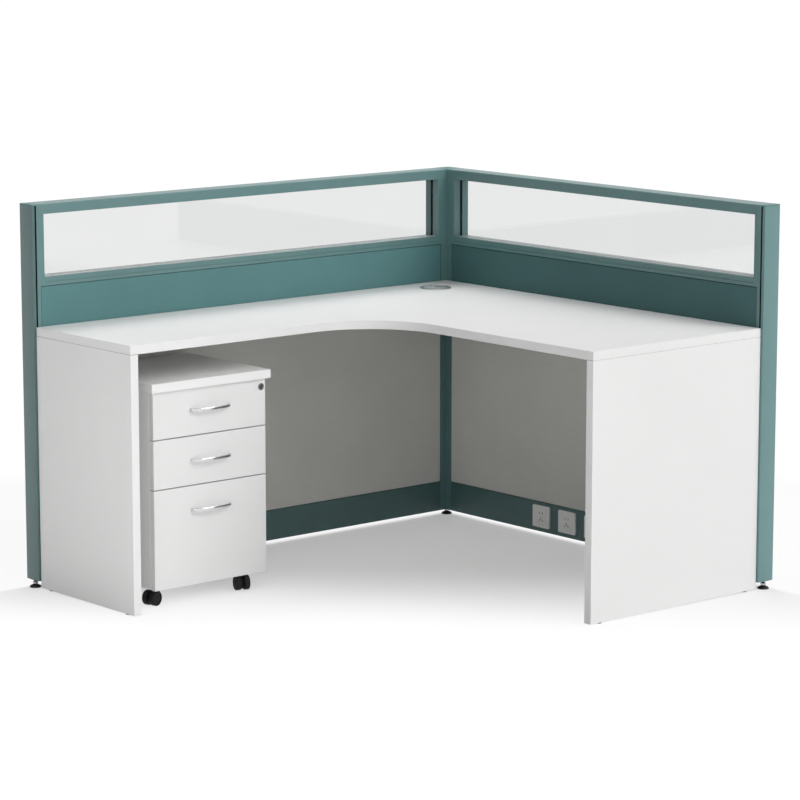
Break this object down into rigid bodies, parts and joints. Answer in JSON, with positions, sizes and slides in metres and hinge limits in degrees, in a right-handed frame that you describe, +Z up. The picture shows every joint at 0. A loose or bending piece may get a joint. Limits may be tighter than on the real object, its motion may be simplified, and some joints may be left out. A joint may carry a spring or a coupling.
{
  "type": "cubicle workstation",
  "caption": "Corner workstation with low glazed screens at a right angle, an L-shaped white desk with end panels, and a mobile drawer pedestal.",
  "frame": {"origin": "centre of the footprint, on the floor", "axes": "+X along the long screen towards the corner, +Y out through the long screen, +Z up"},
  "size_m": [1.606, 1.406, 1.095],
  "materials": {
    "teal_frame": "satin teal powder coat",
    "teal_cap": "satin",
    "glass": "clear, faint grey",
    "seal": "matte",
    "teal_fabric": "fine weave",
    "grey_fabric": "fine weave",
    "bare_aluminium": "mill",
    "outlet_plastic": "semi-gloss",
    "foot_black": "satin black",
    "white_board": "white melamine, fine texture",
    "box_board": "white melamine",
    "steel": "zinc plated",
    "glide_plastic": "matte",
    "grommet_metal": "satin silver",
    "handle_chrome": "polished",
    "lock_chrome": "polished",
    "castor_plastic": "matte black",
    "wheel_plastic": "satin black"
  },
  "bodies": {
    "workstation": {"corner_post": "teal_frame", "corner_cap": "teal_cap", "end_post_back": "teal_frame", "end_post_side": "teal_frame", "end_caps": "teal_cap", "back_top_rail": "teal_frame", "back_mid_rail": "teal_frame", "back_desk_rail": "bare_aluminium", "back_base_rail": "bare_aluminium", "back_stiles": "teal_frame", "side_top_rail": "teal_frame", "side_mid_rail": "teal_frame", "side_desk_rail": "bare_aluminium", "side_base_rail": "bare_aluminium", "side_stiles": "teal_frame", "back_glass": "glass", "side_glass": "glass", "glass_seals": "seal", "back_upper_tiles": "teal_fabric", "side_upper_tiles": "teal_fabric", "back_lower_panels": "grey_fabric", "side_lower_panels": "grey_fabric", "back_kick_covers": "teal_frame", "side_kick_covers": "teal_frame", "outlet_plates": "outlet_plastic", "desktop": "white_board", "end_panel_back": "white_board", "end_panel_side": "white_board", "desk_brackets": "steel", "bracket_screws": "steel", "panel_glides": "glide_plastic", "grommet_ring": "grommet_metal"},
    "foot_back": {"foot_back": "foot_black"},
    "foot_corner": {"foot_corner": "foot_black"},
    "foot_side": {"foot_side": "foot_black"},
    "grommet_lid": {"grommet_lid": "grommet_metal"},
    "pedestal": {"ped_top": "white_board", "ped_sides": "white_board", "ped_back": "white_board", "ped_bottom": "white_board", "drawer_runners": "steel"},
    "drawer_1": {"drawer_1_front": "white_board", "drawer_1_box": "box_board", "drawer_1_handle": "handle_chrome", "lock_barrel": "lock_chrome"},
    "drawer_2": {"drawer_2_front": "white_board", "drawer_2_box": "box_board", "drawer_2_handle": "handle_chrome"},
    "drawer_3": {"drawer_3_front": "white_board", "drawer_3_box": "box_board", "drawer_3_handle": "handle_chrome"},
    "lock_plug": {"lock_plug": "lock_chrome"},
    "castor_1": {"castor_1": "castor_plastic"},
    "wheels_1": {"wheels_1": "wheel_plastic"},
    "castor_2": {"castor_2": "castor_plastic"},
    "wheels_2": {"wheels_2": "wheel_plastic"},
    "castor_3": {"castor_3": "castor_plastic"},
    "wheels_3": {"wheels_3": "wheel_plastic"},
    "castor_4": {"castor_4": "castor_plastic"},
    "wheels_4": {"wheels_4": "wheel_plastic"}
  },
  "joints": [
    {"name": "foot_back_turn", "type": "hinge", "parent": "workstation", "child": "foot_back", "pos_m": [-0.786, 0.673, 0], "axis": [0, 0, 1], "continuous": true},
    {"name": "foot_corner_turn", "type": "hinge", "parent": "workstation", "child": "foot_corner", "pos_m": [0.773, 0.673, 0], "axis": [0, 0, 1], "continuous": true},
    {"name": "foot_side_turn", "type": "hinge", "parent": "workstation", "child": "foot_side", "pos_m": [0.773, -0.686, 0], "axis": [0, 0, 1], "continuous": true},
    {"name": "grommet_lid_turn", "type": "hinge", "parent": "workstation", "child": "grommet_lid", "pos_m": [0.598, 0.528, 0.7505], "axis": [0, 0, 1], "continuous": true},
    {"name": "pedestal_roll_out", "type": "slide", "parent": "workstation", "child": "pedestal", "axis": [0, -1, 0], "range_m": [0, 0.5]},
    {"name": "drawer_1_slide", "type": "slide", "parent": "pedestal", "child": "drawer_1", "axis": [0, -1, 0], "range_m": [0, 0.25]},
    {"name": "drawer_2_slide", "type": "slide", "parent": "pedestal", "child": "drawer_2", "axis": [0, -1, 0], "range_m": [0, 0.25]},
    {"name": "drawer_3_slide", "type": "slide", "parent": "pedestal", "child": "drawer_3", "axis": [0, -1, 0], "range_m": [0, 0.25]},
    {"name": "lock_turn", "type": "hinge", "parent": "drawer_1", "child": "lock_plug", "pos_m": [-0.298, 0.251, 0.5785], "axis": [0, -1, 0], "range_deg": [0, 90]},
    {"name": "castor_1_swivel", "type": "hinge", "parent": "pedestal", "child": "castor_1", "pos_m": [-0.644, 0.285, 0.046], "axis": [0, 0, 1], "continuous": true},
    {"name": "wheels_1_spin", "type": "hinge", "parent": "castor_1", "child": "wheels_1", "pos_m": [-0.66492, 0.2782, 0.021], "axis": [0.309, -0.9511, 0], "continuous": true},
    {"name": "castor_2_swivel", "type": "hinge", "parent": "pedestal", "child": "castor_2", "pos_m": [-0.354, 0.285, 0.046], "axis": [0, 0, 1], "continuous": true},
    {"name": "wheels_2_spin", "type": "hinge", "parent": "castor_2", "child": "wheels_2", "pos_m": [-0.36152, 0.26433, 0.021], "axis": [0.9397, -0.342, 0], "continuous": true},
    {"name": "castor_3_swivel", "type": "hinge", "parent": "pedestal", "child": "castor_3", "pos_m": [-0.644, 0.573, 0.046], "axis": [0, 0, 1], "continuous": true},
    {"name": "wheels_3_spin", "type": "hinge", "parent": "castor_3", "child": "wheels_3", "pos_m": [-0.66525, 0.57869, 0.021], "axis": [-0.2588, -0.9659, 0], "continuous": true},
    {"name": "castor_4_swivel", "type": "hinge", "parent": "pedestal", "child": "castor_4", "pos_m": [-0.354, 0.573, 0.046], "axis": [0, 0, 1], "continuous": true},
    {"name": "wheels_4_spin", "type": "hinge", "parent": "castor_4", "child": "wheels_4", "pos_m": [-0.37202, 0.56038, 0.021], "axis": [0.5736, -0.8192, 0], "continuous": true}
  ]
}
